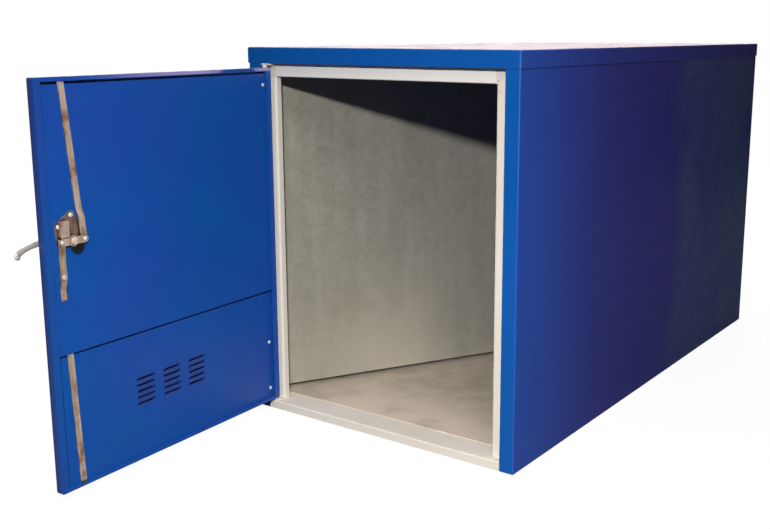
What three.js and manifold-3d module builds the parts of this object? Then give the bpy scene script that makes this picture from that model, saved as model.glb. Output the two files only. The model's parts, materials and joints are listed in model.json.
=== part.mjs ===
// Bicycle locker: a steel cabinet for two bicycles, parted by a diagonal wall, with a door at each end.
// Millimetres, +X right, +Y to the back, +Z up. The origin is the middle of the footprint on the ground.
// Each door is drawn closed in the front end of the cabinet and then swung on its pivots.
// The back end is the front end turned half round.

import * as THREE from 'three';
import { mergeVertices } from 'three/addons/utils/BufferGeometryUtils.js';
import Module from 'manifold-3d';

const wasm = await Module();
wasm.setup();

// Cabinet
const cabinetWidth = 1016;
const cabinetLength = 2032;
const cabinetHeight = 1220;
const shellSheet = 2;
const roofFlange = 50;
const roofBend = 5;
const postWidth = 50;
const postTurnOut = 22;
const stiffenerWidth = 25;
const play = 0.3;
const overrun = 4;
const sheetBend = 3;

// Door opening frame
const frameSheet = 3;
const frameRecess = 27;
const frameFace = 43;
const frameDepth = 24;
const jambBend = 7.5;
const frameLap = 24;
const sillHeight = 28;
const sillDepth = 100;
const railFace = 44;

// Floor, bearers and dividing wall
const floorSheet = 2;
const floorSkirt = 22;
const floorLap = 6;
const bearerWidth = 60;
const bearerSheet = 2;
const bearerSpacing = 560;
const wallSheet = 2;
const wallSetback = 90;
const wallFlange = 38;
const wallFloorGap = 12;

// Door leaf
const leafGap = 6;
const leafDepth = 24;
const leafFloorGap = 10;
const leafHeadGap = 15;
const leafCorner = 5;
const leafSheet = 2;
const lipSide = 22;
const lipTop = 11;
const lipBottom = 9;
const linerSheet = 2;
const upperLinerDrop = 19;
const linerSplit = 420;
const splitGap = 8;
const upperLinerSet = 6;
const lowerLinerSet = 12;
const frontDoorAngle = THREE.MathUtils.degToRad(87);

// Louvres in the lower part of the door
const louvreColumns = 3;
const louvreRows = 5;
const louvreLength = 68;
const louvreColumnPitch = 103;
const louvreRowPitch = 18.6;
const louvreBackset = 290;
const louvreLowest = 198;
const louvreSlot = 9;
const louvreSink = 4;
const louvreDrop = 4;
const louvreReach = 7;
const louvreSkin = 1.5;

// Pivots
const pivotInset = 8;
const pivotRadius = 4;
const pivotCollar = 8;
const pivotPlate = 7;
const pivotPlateLength = 40;
const pivotPinReach = 12;
const pivotBush = 15;
const bushHeight = 15;

// Lock: handle, cam and rods
const spindleBackset = 87.5;
const spindleHeight = 727;
const spindleRadius = 7;
const camRadius = 37;
const camEnd = 10;
const camHub = 15;
const camSheet = 3;
const camPin = 4;
const rivetHead = 1.5;
const rivetRadius = 6;
const rodWidth = 19;
const rodSheet = 3;
const rodEnd = 9;
const rodInset = 1;
const rodClearance = 1.2;
const rodSidePlay = 1.5;
const upperGuideOffset = 3;
const upperJoggle = 64;
const linkLength = 94;
const linkJoggle = 24;
const lowerHeadOffset = 33.5;
const lowerGuideOffset = 7.5;
const linerJoggleShare = 0.355;
const joggleRun = 18;
const mountSheet = 2;
const mountCorner = 12;
const mountWidth = 80;
const mountHeight = 73;
const mountReachBack = 40.5;
const mountReachDown = 5;
const mountScrewShares = [[0.03, 0.03], [0.93, 0], [1, 0.63], [0.48, 1]];
const caseWidth = 28;
const caseHeight = 44;
const caseDepth = 11;
const caseCorner = 4;
const caseOffset = 12.5;
const barrelRadius = 21;
const barrelDepth = 4;
const barrelShift = 17;
const barrelDrop = 17;
const nutRadius = 11;
const nutDepth = 5;
const roseRadius = 27;
const roseDepth = 5;
const hubRadius = 14;
const hubDepth = 22;
const leverReach = 132;
const leverDrop = 31;
const leverStand = 16;
const leverHeight = 18;
const leverDepth = 11;
const leverPathShares = [
  [0, 0, 0],
  [0.2, 0.35, 0.02],
  [0.46, 1, 0.12],
  [0.67, 1, 0.27],
  [0.82, 1, 0.44],
  [0.93, 0.95, 0.62],
  [0.985, 0.88, 0.82],
  [1, 0.8, 1],
];
const leverSectionShares = [
  [1, 1],
  [1, 1],
  [0.96, 0.9],
  [0.8, 0.8],
  [0.82, 0.76],
  [0.95, 0.8],
  [1, 0.86],
  [0.9, 0.86],
];
const bendSteps = 4;
const roundSides = 32;
const pinSides = 20;
const sweepSteps = 12;

// Places that follow from the sizes
const roofLap = shellSheet + play;
const bodyHalfWidth = cabinetWidth / 2 - roofLap;
const postInner = cabinetWidth / 2 - postWidth;
const faceY = -cabinetLength / 2 + roofLap;
const frameY = faceY + frameRecess;
const seamHeight = cabinetHeight - roofFlange;
const bodyTop = cabinetHeight - roofBend - play;
const jambInner = postInner - frameFace;
const hingeEdge = -postInner + leafGap;
const leafWidth = 2 * (postInner - leafGap);
const leafBottom = sillHeight + leafFloorGap;
const leafTop = seamHeight - leafHeadGap;
const upperLinerTop = leafTop - upperLinerDrop;
const louvreFirstEdge = leafWidth - louvreBackset - louvreLength - (louvreColumns - 1) * louvreColumnPitch;
const spindleEdge = leafWidth - spindleBackset;
const linerJoggle = (spindleHeight - linerSplit) * linerJoggleShare;
const mountScrews = mountScrewShares.map(([across, up]) => [
  spindleEdge - mountReachBack + across * mountWidth,
  spindleHeight - mountReachDown + up * mountHeight,
]);
const floorBottom = sillHeight + play;
const floorTop = floorBottom + floorSheet;
const upperFace = leafDepth - upperLinerSet;
const lowerFace = leafDepth - lowerLinerSet;
const rodBack = upperFace + play;
const lowerRodBack = lowerFace + play;
const mountFront = upperFace + play + mountSheet;
const rodLift = mountFront + play + barrelDepth + play;
const camBack = rodLift + rodSheet + play;
const linkBack = rodBack + rodSheet + play;
const spindleX = hingeEdge + spindleEdge;
const pivotX = hingeEdge + pivotInset;
const pivotY = faceY + pivotInset;

// Finishes
const finishes = {
  blue: { color: 0x14469e, roughness: 0.38, metalness: 0.0 },
  cream: { color: 0xded6cb, roughness: 0.5, metalness: 0.0 },
  galvanized: { color: 0x9a9a94, roughness: 0.45, metalness: 0.75 },
  plated: { color: 0xb3a58d, roughness: 0.38, metalness: 0.85 },
  chrome: { color: 0xb9b9b4, roughness: 0.25, metalness: 0.95 },
  black: { color: 0x15151a, roughness: 0.5, metalness: 0.1 },
};

function toSolid(geometry) {
  const bare = geometry.index ? geometry.toNonIndexed() : geometry.clone();
  bare.deleteAttribute('normal');
  bare.deleteAttribute('uv');
  const merged = mergeVertices(bare);
  return new wasm.Manifold(new wasm.Mesh({
    numProp: 3,
    vertProperties: new Float32Array(merged.attributes.position.array),
    triVerts: new Uint32Array(merged.index.array),
  }));
}

function toMesh(name, solid, finish) {
  const result = solid.getMesh();
  const geometry = new THREE.BufferGeometry();
  geometry.setAttribute('position', new THREE.BufferAttribute(result.vertProperties, result.numProp));
  geometry.setIndex(new THREE.BufferAttribute(result.triVerts, 1));
  geometry.computeVertexNormals();
  const mesh = new THREE.Mesh(geometry, new THREE.MeshStandardMaterial(finishes[finish]));
  mesh.name = name;
  return mesh;
}

function block([x0, x1], [y0, y1], [z0, z1]) {
  const geometry = new THREE.BoxGeometry(x1 - x0, y1 - y0, z1 - z0);
  geometry.translate((x0 + x1) / 2, (y0 + y1) / 2, (z0 + z1) / 2);
  return toSolid(geometry);
}

function prism(shape, depth, basis) {
  const geometry = new THREE.ExtrudeGeometry(shape, { depth, bevelEnabled: false, curveSegments: bendSteps });
  geometry.applyMatrix4(basis);
  return geometry;
}

const xAxis = new THREE.Vector3(1, 0, 0);
const yAxis = new THREE.Vector3(0, 1, 0);
const zAxis = new THREE.Vector3(0, 0, 1);
const planBasis = new THREE.Matrix4().makeBasis(xAxis, yAxis, zAxis);
const frontBasis = new THREE.Matrix4().makeBasis(xAxis, zAxis, yAxis.clone().negate());
const sideBasis = new THREE.Matrix4().makeBasis(yAxis, zAxis, xAxis);

// A shape drawn in plan, seen from above, and pulled up from z0 to z1.
function planPrism(shape, z0, z1) {
  return toSolid(prism(shape, z1 - z0, planBasis).translate(0, 0, z0));
}

// A shape drawn across the cabinet, in X and Z, and pulled back from y0 to y1.
function frontPrism(shape, y0, y1) {
  return toSolid(prism(shape, y1 - y0, frontBasis).translate(0, y1, 0));
}

// A shape drawn along the cabinet, in Y and Z, and pulled right from x0 to x1.
function sidePrism(shape, x0, x1) {
  return toSolid(prism(shape, x1 - x0, sideBasis).translate(x0, 0, 0));
}

function shapeOf(points) {
  return new THREE.Shape(points.map(([a, b]) => new THREE.Vector2(a, b)));
}

// Rounds the corners of an open line of points, as a press brake rounds a fold.
function roundBends(points, radius) {
  const line = points.map(([a, b]) => new THREE.Vector2(a, b));
  const result = [line[0]];
  for (let i = 1; i < line.length - 1; i += 1) {
    const back = line[i - 1].clone().sub(line[i]).normalize();
    const ahead = line[i + 1].clone().sub(line[i]).normalize();
    const half = Math.acos(THREE.MathUtils.clamp(back.dot(ahead), -1, 1)) / 2;
    const middle = back.clone().add(ahead).normalize();
    const centre = line[i].clone().addScaledVector(middle, radius / Math.sin(half));
    const from = line[i].clone().addScaledVector(back, radius / Math.tan(half)).sub(centre).angle();
    const to = line[i].clone().addScaledVector(ahead, radius / Math.tan(half)).sub(centre).angle();
    const turn = Math.atan2(Math.sin(to - from), Math.cos(to - from));
    for (let step = 0; step <= bendSteps; step += 1) {
      const angle = from + (turn * step) / bendSteps;
      result.push(new THREE.Vector2(Math.cos(angle), Math.sin(angle)).multiplyScalar(radius).add(centre));
    }
  }
  result.push(line[line.length - 1]);
  return result;
}

// The cut edge of a folded sheet whose middle line runs through the points.
function foldedSheet(points, thickness, bend = sheetBend) {
  const line = roundBends(points, bend - thickness / 2);
  const normals = line.slice(1).map((point, i) => {
    const along = point.clone().sub(line[i]).normalize();
    return new THREE.Vector2(-along.y, along.x);
  });
  const left = [];
  const right = [];
  line.forEach((point, i) => {
    const before = normals[Math.max(i - 1, 0)];
    const after = normals[Math.min(i, normals.length - 1)];
    const offset = before.clone().add(after).multiplyScalar(thickness / 2 / (1 + before.dot(after)));
    left.push(point.clone().add(offset));
    right.unshift(point.clone().sub(offset));
  });
  return new THREE.Shape(left.concat(right));
}

// The outline of a plate that goes round the points at one distance, with round corners.
function plateAround(points, radius, sides = roundSides) {
  const line = points.map(([a, b]) => new THREE.Vector2(a, b));
  const outline = [];
  const count = line.length;
  line.forEach((point, i) => {
    const before = point.clone().sub(line[(i + count - 1) % count]).angle() - Math.PI / 2;
    const after = line[(i + 1) % count].clone().sub(point).angle() - Math.PI / 2;
    const turn = ((after - before) % (2 * Math.PI) + 2 * Math.PI) % (2 * Math.PI);
    const steps = Math.max(1, Math.round((sides * turn) / (2 * Math.PI)));
    for (let step = 0; step <= steps; step += 1) {
      const angle = before + (turn * step) / steps;
      outline.push(new THREE.Vector2(Math.cos(angle), Math.sin(angle)).multiplyScalar(radius).add(point));
    }
  });
  return new THREE.Shape(outline);
}

function roundedRectangle([a0, a1], [b0, b1], radius) {
  return plateAround([
    [a0 + radius, b0 + radius],
    [a1 - radius, b0 + radius],
    [a1 - radius, b1 - radius],
    [a0 + radius, b1 - radius],
  ], radius, 4 * bendSteps);
}

// A round bar along Y in the closed door: t runs from the outer face inwards.
function barAcross(edge, height, radius, [t0, t1], sides = pinSides) {
  const geometry = new THREE.CylinderGeometry(radius, radius, t1 - t0, sides);
  geometry.translate(hingeEdge + edge, faceY + (t0 + t1) / 2, height);
  return toSolid(geometry);
}

// An upright round bar.
function barUp(x, y, radius, [z0, z1], sides = pinSides) {
  const geometry = new THREE.CylinderGeometry(radius, radius, z1 - z0, sides);
  geometry.applyMatrix4(new THREE.Matrix4().makeBasis(xAxis, zAxis, yAxis.clone().negate()));
  geometry.translate(x, y, (z0 + z1) / 2);
  return toSolid(geometry);
}

// A block in the closed door, by distance from the hinge edge, depth from the outer face, and height.
function leafBlock([s0, s1], [t0, t1], z) {
  return block([hingeEdge + s0, hingeEdge + s1], [faceY + t0, faceY + t1], z);
}

// A plate drawn on the door, seen from the front, at a depth from the outer face.
function leafPlate(shape, [t0, t1]) {
  return frontPrism(shape, faceY + t0, faceY + t1).translate([hingeEdge, 0, 0]);
}

function cutAll(solid, cutters) {
  return cutters.reduce((rest, cutter) => rest.subtract(cutter), solid);
}

function joinAll(solids) {
  return solids.slice(1).reduce((whole, solid) => whole.add(solid), solids[0]);
}

// The cam makes a quarter turn to lock: its end on the hinge side rises and its end on the lock side sinks.
// Places on the door are given by the distance from the hinge edge and the height.
function camPinAt(side, share) {
  const angle = (share * Math.PI) / 2;
  return new THREE.Vector2(
    spindleEdge + side * camRadius * Math.cos(angle),
    spindleHeight - side * camRadius * Math.sin(angle),
  );
}

function leanBetween(from, to) {
  return Math.atan2(to.x - from.x, to.y - from.y);
}

// The upper rod hangs on the cam and swings a little while it rises through its guide.
function swingingRod(guide) {
  const pin = camPinAt(-1, 0);
  const lean = leanBetween(pin, guide);
  const turn = leanBetween(camPinAt(-1, 1), guide) - lean;
  return {
    pin,
    lean,
    edgeAt: (height, share) => {
      const moved = camPinAt(-1, share);
      return moved.x + (height - moved.y) * Math.tan(lean + share * turn);
    },
    lengthTo: (height) => (height - pin.y) / Math.cos(lean),
  };
}

// The lower rod slides along its own line, driven by a link between the cam and the rod's head.
function slidingRod(guide, headEdge) {
  const drive = camPinAt(1, 0);
  const across = headEdge - drive.x;
  const pin = new THREE.Vector2(headEdge, drive.y - Math.sqrt(linkLength * linkLength - across * across));
  const lean = leanBetween(pin, guide);
  const line = new THREE.Vector2(Math.sin(lean), Math.cos(lean));
  const gap = pin.clone().sub(camPinAt(1, 1));
  const along = gap.dot(line);
  return {
    pin,
    lean,
    travel: Math.sqrt(along * along - gap.lengthSq() + linkLength * linkLength) - along,
    linkPlan: { pin: drive, lean: leanBetween(drive, pin) },
    edgeAt: (height) => pin.x + (height - pin.y) * Math.tan(lean),
    lengthTo: (height) => (height - pin.y) / Math.cos(lean),
  };
}

const upperRodPlan = swingingRod(new THREE.Vector2(spindleEdge + upperGuideOffset, leafTop));
const lowerRodPlan = slidingRod(
  new THREE.Vector2(spindleEdge + lowerGuideOffset, leafBottom),
  spindleEdge + lowerHeadOffset,
);

// The slot that a rod needs where it passes the heights, over the whole turn of the cam.
function rodSlot(plan, heights, depths, cutHeights) {
  const edges = [];
  for (let step = 0; step <= sweepSteps; step += 1) {
    edges.push(...heights.map((height) => plan.edgeAt(height, step / sweepSteps)));
  }
  const room = rodWidth / 2 + rodSidePlay;
  const slot = [Math.min(...edges) - room, Math.max(...edges) + room];
  return leafBlock(slot, [depths[0] - rodClearance, depths[1] + rodClearance], cutHeights);
}

// Roof
function lid(inset, top) {
  const profile = (half) => {
    const shape = new THREE.Shape();
    const radius = roofBend - inset;
    const low = inset > 0 ? seamHeight - overrun : seamHeight;
    shape.moveTo(-half, low);
    shape.lineTo(half, low);
    shape.lineTo(half, top - radius);
    shape.absarc(half - radius, top - radius, radius, 0, Math.PI / 2, false);
    shape.lineTo(-half + radius, top);
    shape.absarc(-half + radius, top - radius, radius, Math.PI / 2, Math.PI, false);
    return shape;
  };
  const across = cabinetWidth / 2 - inset;
  const along = cabinetLength / 2 - inset;
  return frontPrism(profile(across), -along, along).intersect(sidePrism(profile(along), -across, across));
}

function roofCap() {
  return lid(0, cabinetHeight).subtract(lid(shellSheet, cabinetHeight - shellSheet));
}

// Side panel with its posts: one sheet folded round the front and back corners of the cabinet.
function sidePanel(sign) {
  const half = shellSheet / 2;
  const web = bodyHalfWidth - half;
  const inner = postInner + half;
  const front = faceY + half;
  const returned = frameY - play - half;
  const fold = [
    [inner + postTurnOut, returned],
    [inner, returned],
    [inner, front],
    [web, front],
    [web, -front],
    [inner, -front],
    [inner, -returned],
    [inner + postTurnOut, -returned],
  ];
  const shell = planPrism(foldedSheet(fold, shellSheet), 0, bodyTop);
  const run = -frameY - stiffenerWidth;
  const ledge = (z) => block([bodyHalfWidth - stiffenerWidth, bodyHalfWidth - half], [-run, run], z);
  const panel = joinAll([shell, ledge([bodyTop - shellSheet, bodyTop]), ledge([0, shellSheet])]);
  return sign > 0 ? panel : panel.rotate([0, 0, 180]);
}

function floorPanel() {
  const half = floorSheet / 2;
  const edge = bodyHalfWidth - shellSheet - play - half;
  const fold = [
    [-edge, floorTop - floorSkirt],
    [-edge, floorTop - half],
    [edge, floorTop - half],
    [edge, floorTop - floorSkirt],
  ];
  const end = -faceY - sillDepth + floorLap;
  return frontPrism(foldedSheet(fold, floorSheet), -end, end);
}

function bearer(place) {
  const reach = bodyHalfWidth - stiffenerWidth - play;
  const outer = [place - bearerWidth / 2, place + bearerWidth / 2];
  const bore = [outer[0] + bearerSheet, outer[1] - bearerSheet];
  return block([-reach, reach], outer, [0, sillHeight])
    .subtract(block([-reach - overrun, reach + overrun], bore, [bearerSheet, sillHeight - bearerSheet]));
}

function dividingWall() {
  const x = bodyHalfWidth - shellSheet - play - wallSheet / 2;
  const y = -faceY - wallSetback;
  const fold = [[-x, -y - wallFlange], [-x, -y], [x, y], [x, y + wallFlange]];
  return planPrism(foldedSheet(fold, wallSheet), floorTop + wallFloorGap, bodyTop - shellSheet - play);
}

// Opening frame at one end
function header() {
  const half = shellSheet / 2;
  const fold = [[faceY + half, bodyTop], [faceY + half, seamHeight + half], [frameY - play, seamHeight + half]];
  const reach = postInner - play;
  const slot = rodSlot(
    upperRodPlan,
    [seamHeight],
    [rodBack, rodBack + rodSheet],
    [seamHeight - overrun, seamHeight + overrun + shellSheet],
  );
  return sidePrism(foldedSheet(fold, shellSheet), -reach, reach).subtract(slot);
}

function jamb(sign) {
  const half = frameSheet / 2;
  const fold = [
    [postInner + frameLap, frameY + half],
    [jambInner + half, frameY + half],
    [jambInner + half, frameY + frameDepth],
  ];
  const profile = foldedSheet(fold.map(([x, y]) => [sign * x, y]), frameSheet, jambBend);
  return planPrism(profile, sillHeight + play, bodyTop - shellSheet - play);
}

function topRail() {
  const half = frameSheet / 2;
  const low = seamHeight - railFace;
  const fold = [
    [frameY + half, bodyTop - shellSheet - play],
    [frameY + half, low + half],
    [frameY + frameDepth, low + half],
  ];
  const reach = jambInner - play;
  return sidePrism(foldedSheet(fold, frameSheet, sheetBend + half), -reach, reach);
}

function sill() {
  const half = shellSheet / 2;
  const fold = [
    [faceY + half, 0],
    [faceY + half, sillHeight - half],
    [faceY + sillDepth - half, sillHeight - half],
    [faceY + sillDepth - half, 0],
  ];
  const reach = postInner - play;
  const slot = rodSlot(
    lowerRodPlan,
    [sillHeight],
    [lowerRodBack, lowerRodBack + rodSheet],
    [sillHeight - shellSheet - overrun, sillHeight + overrun],
  );
  return sidePrism(foldedSheet(fold, shellSheet), -reach, reach).subtract(slot);
}

// Each pivot bracket is a plate on the frame with its pin standing in the leaf's edge.
function pivotBracket(isTop) {
  const seat = isTop ? seamHeight - play : sillHeight + play;
  const plateZ = isTop ? [seat - pivotPlate, seat] : [seat, seat + pivotPlate];
  const left = -postInner + play;
  const plate = planPrism(
    roundedRectangle([left, left + pivotPlateLength], [faceY + shellSheet, frameY - play], pivotCollar / 2),
    ...plateZ,
  );
  const pinZ = isTop ? [leafTop - pivotPinReach, seat - play] : [seat + play, leafBottom + pivotPinReach];
  const collarZ = isTop ? [leafTop + play, seat - play] : [seat + play, leafBottom - play];
  return joinAll([
    plate,
    barUp(pivotX, pivotY, pivotRadius, pinZ),
    barUp(pivotX, pivotY, pivotCollar, collarZ),
  ]);
}

// Door leaf
function louvrePlaces() {
  const places = [];
  for (let column = 0; column < louvreColumns; column += 1) {
    for (let row = 0; row < louvreRows; row += 1) {
      places.push([louvreFirstEdge + column * louvreColumnPitch, louvreLowest + row * louvreRowPitch]);
    }
  }
  return places;
}

function louvreSlots(depths, sink) {
  return louvrePlaces().map(([edge, height]) => (
    leafBlock([edge, edge + louvreLength], depths, [height - sink, height - sink + louvreSlot])
  ));
}

// The slots in the skin lie lower than those in the liner. A hood is pressed outwards over each of them,
// closed at its ends and open below, and it hangs past the slot.
function louvreHood([edge, height]) {
  const low = height - louvreSink;
  const hood = (inset) => sidePrism(shapeOf([
    [faceY + leafSheet / 2, low + louvreSlot + 2 * (louvreSkin - inset)],
    [faceY - louvreReach + inset, low - louvreDrop - inset],
    [faceY + leafSheet / 2, low - inset],
  ]), hingeEdge + edge + inset - louvreSkin, hingeEdge + edge + louvreLength - inset + louvreSkin);
  return hood(0).subtract(hood(louvreSkin));
}

function doorSkin() {
  const outline = roundedRectangle([0, leafWidth], [leafBottom, leafTop], leafCorner);
  const inside = [leafSheet, leafWidth - leafSheet];
  const lip = leafDepth - leafSheet;
  const window = [leafBottom + lipBottom, leafTop - lipTop];
  const tray = cutAll(leafPlate(outline, [0, leafDepth]), [
    leafBlock(inside, [leafSheet, lip], [leafBottom + leafSheet, leafTop - leafSheet]),
    leafBlock([lipSide, leafWidth - lipSide], [lip - overrun, leafDepth + overrun], window),
  ]);
  const hooded = joinAll([tray, ...louvrePlaces().map(louvreHood)]);
  return cutAll(hooded, [
    ...louvreSlots([0, leafSheet + overrun], louvreSink),
    barAcross(spindleEdge, spindleHeight, spindleRadius + 2 * play, [-overrun, leafSheet + overrun]),
    barUp(pivotX, pivotY, pivotRadius + play, [leafBottom - overrun, leafBottom + overrun]),
    barUp(pivotX, pivotY, pivotRadius + play, [leafTop - overrun, leafTop + overrun]),
    rodSlot(
      upperRodPlan,
      [leafTop],
      [rodBack, rodBack + rodSheet],
      [leafTop - leafSheet - overrun, leafTop + overrun],
    ),
    rodSlot(
      lowerRodPlan,
      [leafBottom],
      [lowerRodBack, lowerRodBack + rodSheet],
      [leafBottom - overrun, leafBottom + leafSheet + overrun],
    ),
  ]);
}

function linerTray(edges, depths, heights, cutters) {
  const cavity = leafBlock(
    [edges[0] + linerSheet, edges[1] - linerSheet],
    [depths[0] - overrun, depths[1] - linerSheet],
    [heights[0] + linerSheet, heights[1] - linerSheet],
  );
  return cutAll(leafBlock(edges, depths, heights), [cavity, ...cutters]);
}

function upperLiner() {
  const edges = [leafSheet + play, leafWidth - leafSheet - play];
  const start = spindleHeight - linerJoggle;
  const passage = [start - joggleRun - lowerRodPlan.travel - rodClearance, start + rodClearance];
  return linerTray(edges, [leafSheet + play, upperFace], [linerSplit, upperLinerTop], [
    barAcross(spindleEdge, spindleHeight, spindleRadius + 2 * play, [0, leafDepth + overrun]),
    rodSlot(lowerRodPlan, passage, [upperFace - linerSheet - overrun, upperFace + overrun], passage),
    rodSlot(
      lowerRodPlan,
      [linerSplit],
      [lowerRodBack, lowerRodBack + rodSheet],
      [linerSplit - overrun, linerSplit + linerSheet + overrun],
    ),
  ]);
}

function lowerLiner() {
  const edges = [leafSheet + play, leafWidth - leafSheet - play];
  const heights = [leafBottom + leafSheet + play, linerSplit - splitGap];
  const bush = leafBlock(
    [0, pivotInset + pivotBush / 2 + play],
    [0, leafDepth],
    [0, leafBottom + leafSheet + play + bushHeight + play],
  );
  return linerTray(edges, [leafSheet + play, lowerFace], heights, [
    ...louvreSlots([lowerFace - linerSheet - overrun, lowerFace + overrun], 0),
    bush,
  ]);
}

// A block behind the leaf's edge that takes the pivot pin.
function pivotBushing(isTop) {
  const low = isTop ? leafTop - leafSheet - play - bushHeight : leafBottom + leafSheet + play;
  const start = leafSheet + play;
  const far = pivotInset + pivotBush / 2;
  return leafBlock([start, far], [start, far], [low, low + bushHeight])
    .subtract(barUp(pivotX, pivotY, pivotRadius + play, isTop
      ? [leafTop - pivotPinReach - play, leafTop]
      : [leafBottom, leafBottom + pivotPinReach + play]));
}

// Lock
function lockMount() {
  const plate = leafPlate(plateAround(mountScrews, mountCorner), [upperFace + play, mountFront]);
  const bore = barAcross(spindleEdge, spindleHeight, spindleRadius + 2 * play, [lowerFace, mountFront + overrun]);
  return plate.subtract(bore);
}

function lockCase() {
  const edge = spindleEdge + caseOffset;
  const low = spindleHeight + caseOffset;
  const outline = roundedRectangle([edge, edge + caseWidth], [low, low + caseHeight], caseCorner);
  const back = mountFront + play;
  return leafPlate(outline, [back, back + caseDepth]);
}

function lockBarrel() {
  const back = mountFront + play;
  const body = barAcross(
    spindleEdge - barrelShift,
    spindleHeight - barrelDrop,
    barrelRadius,
    [back, back + barrelDepth],
    roundSides,
  );
  const bore = barAcross(spindleEdge, spindleHeight, spindleRadius + 2 * play, [back - overrun, back + 3 * overrun]);
  return body.subtract(bore);
}

function rose() {
  const profile = [
    [0, 0],
    [roseRadius, 0],
    [roseRadius, roseDepth / 2],
    [roseRadius - roseDepth / 2, roseDepth],
    [0, roseDepth],
  ].map(([r, h]) => new THREE.Vector2(r, h));
  const turned = new THREE.LatheGeometry(profile, roundSides);
  turned.applyMatrix4(new THREE.Matrix4().makeBasis(xAxis, yAxis.clone().negate(), zAxis.clone().negate()));
  turned.translate(spindleX, faceY - play, spindleHeight);
  return toSolid(turned)
    .subtract(barAcross(spindleEdge, spindleHeight, spindleRadius + play, [-2 * roseDepth, roseDepth]));
}

// The rings of an oval bar whose height and depth change along its path. Its far end is rounded off.
function barRings(path, sizes, steps) {
  const rings = [];
  const addRing = (place, along, height, depth) => {
    const inwards = yAxis.clone().addScaledVector(along, -yAxis.dot(along)).normalize();
    const upwards = along.clone().cross(inwards);
    rings.push(Array.from({ length: pinSides }, (_, i) => {
      const angle = (2 * Math.PI * i) / pinSides;
      return place.clone()
        .addScaledVector(upwards, (height / 2) * Math.cos(angle))
        .addScaledVector(inwards, (depth / 2) * Math.sin(angle));
    }));
  };
  for (let step = 0; step <= steps; step += 1) {
    const size = sizes.getPoint(step / steps);
    addRing(path.getPoint(step / steps), path.getTangent(step / steps), size.x, size.y);
  }
  const last = sizes.getPoint(1);
  for (let step = 1; step < bendSteps; step += 1) {
    const angle = (step / bendSteps) * (Math.PI / 2);
    const place = path.getPoint(1).addScaledVector(path.getTangent(1), (last.y / 2) * Math.sin(angle));
    addRing(place, path.getTangent(1), last.x * Math.cos(angle), last.y * Math.cos(angle));
  }
  return rings;
}

function solidOfRings(rings) {
  const count = rings[0].length;
  const last = (rings.length - 1) * count;
  const faces = [];
  for (let i = 1; i < count - 1; i += 1) {
    faces.push(0, i, i + 1);
    faces.push(last, last + i + 1, last + i);
  }
  for (let row = 0; row < last; row += count) {
    for (let i = 0; i < count; i += 1) {
      const next = (i + 1) % count;
      faces.push(row + i, row + count + next, row + next);
      faces.push(row + i, row + count + i, row + count + next);
    }
  }
  const geometry = new THREE.BufferGeometry().setFromPoints(rings.flat());
  geometry.setIndex(faces);
  return toSolid(geometry);
}

// The lever bends away from the leaf, narrows, runs past its free edge and hooks down to a wider tip.
function leverHandle() {
  const root = -play - roseDepth - play;
  const path = new THREE.CatmullRomCurve3(leverPathShares.map(([out, stand, drop]) => new THREE.Vector3(
    spindleX + out * leverReach,
    faceY + root - hubDepth / 2 - stand * leverStand,
    spindleHeight - drop * leverDrop,
  )));
  const sizes = new THREE.CatmullRomCurve3(leverSectionShares.map(([height, depth]) => new THREE.Vector3(
    height * leverHeight,
    depth * leverDepth,
    0,
  )));
  const arm = solidOfRings(barRings(path, sizes, (leverPathShares.length - 1) * bendSteps));
  const hub = barAcross(spindleEdge, spindleHeight, hubRadius, [root - hubDepth, root], roundSides);
  const bore = barAcross(spindleEdge, spindleHeight, spindleRadius + play, [root - hubDepth / 2, root + overrun]);
  return hub.add(arm).subtract(bore);
}

function spindle() {
  const inner = camBack + camSheet + play;
  const start = -play - roseDepth - play - hubDepth / 2 + play;
  return barAcross(spindleEdge, spindleHeight, spindleRadius, [start, inner - play])
    .add(barAcross(spindleEdge, spindleHeight, nutRadius, [inner, inner + nutDepth], 6))
    .add(barAcross(spindleEdge, spindleHeight, spindleRadius - play, [start, inner + nutDepth + play]));
}

function cam() {
  const depths = [camBack, camBack + camSheet];
  const ends = [camPinAt(-1, 0), camPinAt(1, 0)];
  const bar = leafPlate(plateAround(ends.map((end) => [end.x, end.y]), camEnd), depths);
  const hub = barAcross(spindleEdge, spindleHeight, camHub, depths, roundSides);
  const pins = ends.map((end) => barAcross(end.x, end.y, camPin, [rodLift, camBack + camSheet + rivetHead]));
  return joinAll([bar, hub, ...pins])
    .subtract(barAcross(spindleEdge, spindleHeight, spindleRadius + play, [0, 2 * leafDepth]));
}

// A flat bar is drawn upright along its own line, from its pin outwards, and then leaned about the pin.
function flatBar(plan, fold) {
  const half = rodSheet / 2;
  const line = fold.map(([t, along]) => [t + half, along]);
  const upright = sidePrism(foldedSheet(line, rodSheet), -rodWidth / 2, rodWidth / 2);
  const leaned = upright.rotate([0, THREE.MathUtils.radToDeg(plan.lean), 0]);
  return leaned.translate([hingeEdge + plan.pin.x, faceY, plan.pin.y]);
}

function camPinHole(plan) {
  return barAcross(plan.pin.x, plan.pin.y, camPin + play, [rodLift - overrun, camBack]);
}

function upperRod() {
  return flatBar(upperRodPlan, [
    [rodLift, -rodEnd],
    [rodLift, upperJoggle],
    [rodBack, upperJoggle + joggleRun],
    [rodBack, upperRodPlan.lengthTo(leafTop - rodInset)],
  ]).subtract(camPinHole(upperRodPlan));
}

// The link steps down from the cam and lies on the head of the lower rod, where its rivet shows.
function lowerLink() {
  const head = lowerRodPlan.pin;
  return flatBar(lowerRodPlan.linkPlan, [
    [rodLift, -rodEnd],
    [rodLift, linkJoggle],
    [linkBack, linkJoggle + joggleRun],
    [linkBack, linkLength + rodEnd],
  ])
    .add(barAcross(head.x, head.y, rivetRadius, [linkBack + rodSheet / 2, linkBack + rodSheet + rivetHead]))
    .subtract(camPinHole(lowerRodPlan.linkPlan));
}

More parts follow.
